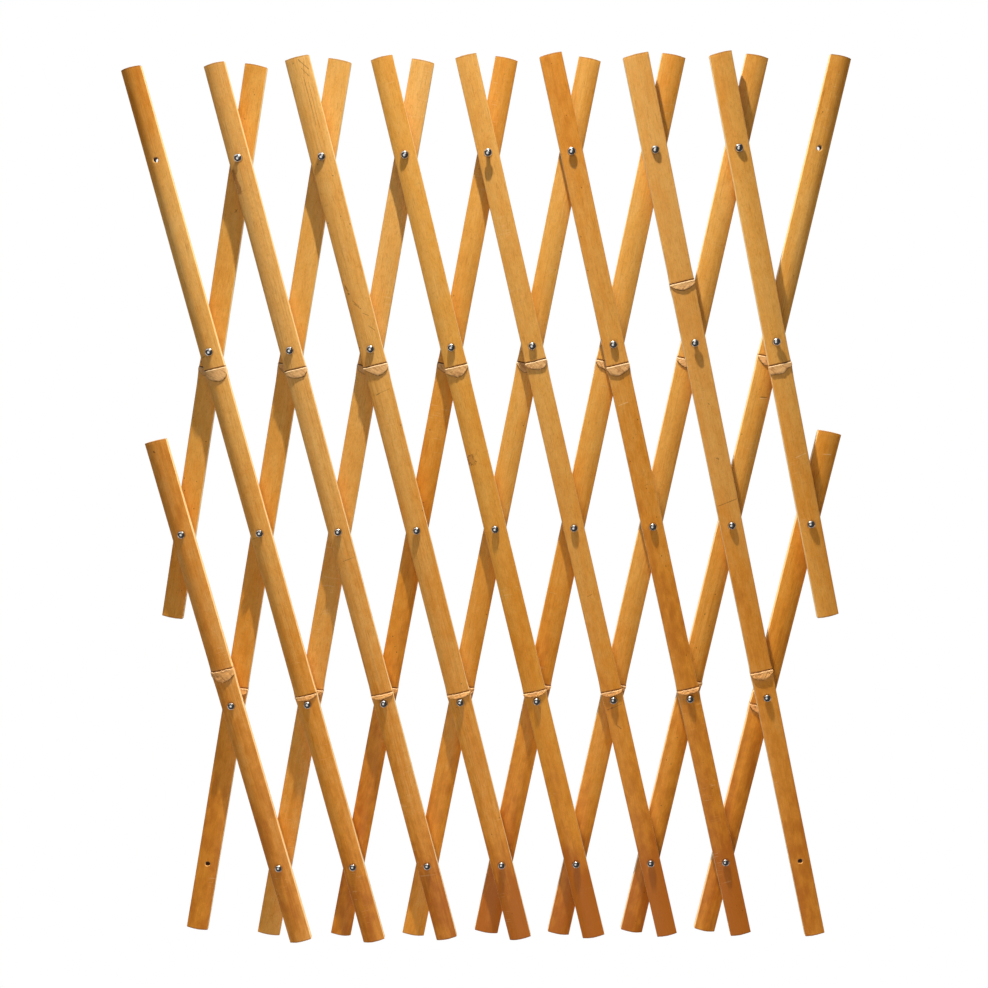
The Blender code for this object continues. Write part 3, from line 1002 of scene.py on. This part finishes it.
def chip_colour(g, slat, z, colour, local, offset):
    """Colour and relief of torn chips. The upper ones are fresher, with a painted highlight along
    the lip.
    """
    slanted = g.turn(local, 0.75)
    torn = g.noise(slanted, (900.0, 900.0, 150.0), offset, detail=3.0, roughness=0.6)
    folds = g.noise(slanted, (420.0, 420.0, 90.0), offset, distortion=0.5)
    middle = slat.heights[MIDDLE_ROW]
    fresh = g.span(z, middle - 0.01, middle + 0.01, 0.42, 0.75)
    colour = g.mix(fresh, colour, FRESH_CHIP)
    colour = g.mix(g.span(torn, 0.34, 0.52, 0.36, 0.0), colour, TORN_BROWN)
    colour = g.mix(g.span(folds, 0.38, 0.46, 0.50, 0.0), colour, FOLD_BROWN)
    # Painted highlight along each upper chip's lip.
    for edge, _ in slat.scars:
        lip = g.span(g.size(g.add(z, 0.0006 - edge)), 0.0003, 0.0007, 1.0, 0.0)
        colour = g.mix(g.mul(g.mul(lip, fresh), 0.75), colour, LIP_HIGHLIGHT)
    return colour, g.add(torn, folds)


def shade_and_end_rim_colour(g, slat, part, x, z, colour):
    """Painted shade round the rivet heads and in corners, and a dark rim at both ends."""
    # Painted contact shade: a darker ring round each rivet head on the front slats' faces.
    if part == "face" and slat.layer == "front":
        for row, height in slat.heights.items():
            if has_rivet("front", slat.index, row):
                ring = g.length(x, g.add(z, -height))
                ring = g.span(ring, HEAD_RADIUS - 0.0002, HEAD_RADIUS + 0.0008, 0.55, 0.0)
                colour = g.mix(ring, colour, RIVET_RING_SHADE)
    # Painted shade: darker in corners and under chip edges, from ambient occlusion.
    crevice_shade = g.span(g.crevice(0.005), 0.12, 0.42, 0.0, 0.85)
    colour = g.mix(crevice_shade, colour, CORNER_SHADE)
    tip = g.math("MINIMUM", g.sub(slat.top, z), g.sub(z, slat.bottom))
    return g.mix(g.span(tip, 0.0008, 0.0020, 0.42, 0.0), colour, RIM_BROWN)


def add_mark(g, colour, x, z, front, kind, start, end, wide, strength):
    """Blend one scratch, knot or stain into a slat's colour. Places and sizes are in mm."""
    ax, az = start[0] * 0.001, start[1] * 0.001
    run_x, run_z = end[0] * 0.001 - ax, end[1] * 0.001 - az
    length_2 = max(run_x * run_x + run_z * run_z, 1e-9)
    dx = g.sub(x, ax)
    dz = g.sub(z, az)
    along = g.add(g.mul(dx, run_x / length_2), g.mul(dz, run_z / length_2))
    along = g.math("ADD", along, 0.0, clamp=True)
    distance = g.length(g.sub(dx, g.mul(along, run_x)), g.sub(dz, g.mul(along, run_z)))
    shake = g.noise(g.local(), (650.0, 650.0, 650.0), (az * 90.0, 0.0, 0.0))
    radius = wide * 0.0005
    distance = g.add(distance, g.span(shake, 0.3, 0.7, -0.35 * radius, 0.35 * radius))
    if kind == "knot":
        inside = g.mul(g.span(distance, radius * 0.7, radius, 1.0, 0.0), front)
        rim = g.span(g.size(g.sub(distance, radius * 0.88)), radius * 0.05, radius * 0.24, 1.0, 0.0)
        colour = g.mix(g.mul(inside, 0.45 * strength), colour, KNOT_CORE)
        return g.mix(g.mul(g.mul(rim, front), strength), colour, KNOT_RIM)
    inside = g.mul(g.span(distance, radius * 0.5, radius * 1.15, 1.0, 0.0), front)
    return g.mix(g.mul(inside, strength), colour, MARK_TONES[kind])


def bamboo_material(slat, part):
    """Stained bamboo in a slat's own frame. Part is face, scar or end."""
    material, g = new_material(f"{slat.layer}_bamboo_{slat.index + 1}_{part}")
    offset = (slat.seed * 1.37, slat.seed * 0.71, slat.seed * 2.13)
    local = g.local()
    x, y, z = g.split(local)[:3]
    clouds = g.noise(local, (38.0, 38.0, 7.0), offset, detail=3.0)
    streaks = g.noise(local, (260.0, 260.0, 4.0), offset, detail=3.0, roughness=0.6)
    blotches = g.noise(local, (150.0, 150.0, 70.0), offset, detail=3.0)
    coarse = g.noise(local, (700.0, 700.0, 14.0), offset, detail=3.0, roughness=0.65)
    medium = g.noise(local, (1200.0, 1200.0, 120.0), offset, detail=3.0, roughness=0.65)
    fine = g.noise(local, (2400.0, 2400.0, 480.0), offset, detail=2.0, roughness=0.7)
    fibres = g.add(g.mul(medium, 0.55), g.mul(fine, 0.45))
    colour = stain_colour(g, slat, z, clouds, streaks, blotches)
    colour = grain_colour(g, slat, colour, local, offset, coarse, fibres)

    # scuffs across the fibres, and side faces that are paler, partly as wood cut through the wall
    # and partly as a painted highlight on them
    scuff_field = g.noise(local, (70.0, 70.0, 620.0), offset, detail=4.0, distortion=0.6)
    patch = g.noise(local, (34.0, 34.0, 13.0), offset, detail=1.0)
    scuffs = g.mul(g.span(scuff_field, 0.60, 0.68), g.span(patch, 0.58, 0.68))
    colour = g.mix(g.mul(scuffs, 0.20), colour, PALE_CUT)
    # Side faces: partly paler cut wood, partly a painted highlight.
    side = g.span(g.size(g.split(g.facing())[0]), 0.62, 0.85)
    colour = g.mix(g.mul(side, 0.80), colour, PALE_CUT)

    colour = node_colour(g, slat, z, colour)
    relief = g.add(g.mul(coarse, 0.5), fibres)
    if part == "scar":
        colour, relief = chip_colour(g, slat, z, colour, local, offset)
    if part == "end":
        relief, _ = g.cells(local, (1500.0, 1500.0, 300.0), offset)
        colour = g.mix(0.30, colour, PALE_CUT)
        colour = g.mix(g.span(relief, 0.20, 0.45, 0.55, 0.0), colour, PORE_BROWN)
    colour = shade_and_end_rim_colour(g, slat, part, x, z, colour)
    if part == "face":
        front = g.span(y, -0.002, -0.001, 1.0, 0.0)
        for mark in MARKS.get((slat.layer, slat.index), ()):
            colour = add_mark(g, colour, x, z, front, *mark)

    smear = g.noise(local, (60.0, 60.0, 16.0), offset, detail=3.0)
    base = ROUGHNESS[part]
    rough = g.add(g.span(smear, 0.3, 0.7, base - 0.05, base + 0.08), g.mul(scuffs, 0.18))
    rough = g.add(rough, g.span(fibres, 0.35, 0.65, 0.07, -0.03))
    normal = g.bump(relief, 0.25 if part == "face" else 0.9, 0.00020)
    if part == "face":
        normal = g.bump(clouds, 0.30, 0.0015, normal)
        normal = g.bump(blotches, 0.25, 0.0004, normal)
    shader = g.node("BsdfPrincipled", {
        "Base Color": colour,
        "Roughness": rough,
        "Normal": normal,
        "Specular IOR Level": SPECULAR_LEVEL,
        "Coat Weight": COAT_WEIGHT if part == "face" else 0.0,
        "Coat Roughness": COAT_ROUGHNESS,
    })
    g.node("OutputMaterial", {"Surface": shader.outputs[0]})
    return material


def steel_material():
    """Bright steel with a fine brushed grain."""
    material, g = new_material("rivet_steel_polished")
    wide = g.noise(g.local(), (420.0, 420.0, 420.0), (3.0, 1.0, 2.0), detail=3.0)
    fine = g.noise(g.local(), (5200.0, 900.0, 1500.0), (1.0, 4.0, 2.0))
    colour = g.ramp(wide, [(0.30, (0.52, 0.50, 0.47)), (0.55, (0.74, 0.73, 0.71)),
                           (0.75, (0.80, 0.79, 0.78))])
    rough = g.add(g.span(wide, 0.35, 0.70, 0.17, 0.08), g.span(fine, 0.55, 0.75, 0.0, 0.08))
    shader = g.node("BsdfPrincipled", {"Base Color": colour, "Metallic": 1.0, "Roughness": rough,
                                       "Normal": g.bump(fine, 0.12, 0.00005)})
    g.node("OutputMaterial", {"Surface": shader.outputs[0]})
    return material


# Stage, lights and camera


def build_world():
    """White for the camera. Metal mirrors white behind it and above, and a dim room in front."""
    world = bpy.data.worlds.new("studio")
    bpy.context.scene.world = world
    world.use_nodes = True
    g = Graph(world.node_tree)
    towards = g.coordinate("Generated")
    above = g.span(g.dot(towards, UPPER_DIRECTION), 0.62, 0.84)
    window = g.span(g.dot(towards, WINDOW_DIRECTION), 0.905, 0.970)
    behind = g.span(g.split(towards)["Y"], 0.30, 0.45)
    bright = g.most(g.most(above, window), behind)
    level = g.span(bright, 0.0, 1.0, ROOM_DIM, ROOM_BRIGHT, "LINEAR")
    room = g.node("Background", {"Color": WHITE, "Strength": level}).outputs[0]
    fill = g.node("Background", {"Color": WORLD_COLOUR, "Strength": WORLD_FILL}).outputs[0]
    white = g.node("Background", {"Color": WHITE, "Strength": 1.0}).outputs[0]
    path = g.node("LightPath", {}).outputs
    mirrored = g.blend(path["Is Glossy Ray"], fill, room)
    seen = g.most(path["Is Camera Ray"], path["Is Transmission Ray"])
    g.node("OutputWorld", {"Surface": g.blend(seen, mirrored, white)})


def floor_material():
    """White to the camera and to metal, apart from the object's shadow. Clear from below."""
    material, g = new_material("pale_floor")
    path = g.node("LightPath", {}).outputs
    seen = g.most(path["Is Camera Ray"], path["Is Glossy Ray"])
    seen = g.most(seen, path["Is Transmission Ray"])
    away = g.node("VectorMath", {0: g.local()}, operation="LENGTH").outputs["Value"]
    far = g.span(away, 0.42, 0.70, 0.80, 1.0)
    matt = g.node("BsdfDiffuse", {"Color": FLOOR_COLOUR}).outputs[0]
    plain = g.node("Emission", {"Color": WHITE, "Strength": 1.0}).outputs[0]
    upper = g.blend(g.mul(seen, far), matt, plain)
    lower = g.node("BsdfTransparent", {}).outputs[0]
    under = g.node("NewGeometry", {}).outputs["Backfacing"]
    g.node("OutputMaterial", {"Surface": g.blend(under, upper, lower)})
    return material


def build_floor():
    mesh = bpy.data.meshes.new("floor")
    corners = [(-FLOOR_SIDE, FLOOR_FRONT, 0.0), (FLOOR_SIDE, FLOOR_FRONT, 0.0),
               (FLOOR_SIDE, FLOOR_BACK, 0.0), (-FLOOR_SIDE, FLOOR_BACK, 0.0)]
    mesh.from_pydata(corners, [], [(0, 1, 2, 3)])
    mesh.materials.append(floor_material())
    floor = new_object("floor", mesh)
    floor.location = (0.0, 0.0, FLOOR_Z)


def new_light(name, place, target, size, energy, colour):
    data = bpy.data.lights.new(name, "AREA")
    data.shape = "DISK"
    data.size = size
    data.energy = energy
    data.color = colour
    obj = new_object(name, data)
    obj.location = place
    obj.rotation_euler = (Vector(target) - Vector(place)).to_track_quat("-Z", "Y").to_euler()
    return obj


def build_lights():
    """A small near key light without falloff, for long shadows, and two weak fills."""
    key = new_light("key", KEY_PLACE, KEY_TARGET, KEY_SIZE, KEY_POWER, KEY_COLOUR).data
    key.use_nodes = True
    nodes = key.node_tree.nodes
    falloff = nodes.new("ShaderNodeLightFalloff")
    falloff.inputs["Strength"].default_value = 1.0
    emission = next(n for n in nodes if n.type == "EMISSION")
    key.node_tree.links.new(falloff.outputs["Constant"], emission.inputs["Strength"])
    new_light("fill", FILL_PLACE, (0.0, 0.0, 0.0), FILL_SIZE, FILL_POWER, WARM_WHITE)
    low_fill = new_light("low_fill", LOW_FILL_PLACE, LOW_FILL_TARGET, LOW_FILL_SIZE,
                         LOW_FILL_POWER, WARM_WHITE)
    low_fill.visible_glossy = False


def build_camera():
    data = bpy.data.cameras.new("camera")
    data.sensor_width = SENSOR_WIDTH
    data.lens = FOCAL_PIXELS / PHOTO_PIXELS * SENSOR_WIDTH
    data.clip_start = 0.05
    data.clip_end = 50.0
    obj = new_object("camera", data)
    right = Vector(CAMERA_RIGHT).normalized()
    ahead = Vector(CAMERA_AHEAD).normalized()
    up = right.cross(ahead)
    matrix = Matrix.Identity(4)
    for row in range(3):
        matrix[row][0] = right[row]
        matrix[row][1] = up[row]
        matrix[row][2] = -ahead[row]
    matrix.translation = CAMERA_PLACE
    obj.matrix_world = matrix
    bpy.context.scene.camera = obj


bpy.context.scene.view_settings.view_transform = "Standard"
build_world()
build_floor()
build_lights()
build_camera()
for layer_name in ("front", "rear"):
    for slat_index in range(SLATS):
        one = Slat(layer_name, slat_index)
        build_slat(one, [bamboo_material(one, part) for part in PARTS])
build_rivets(steel_material())
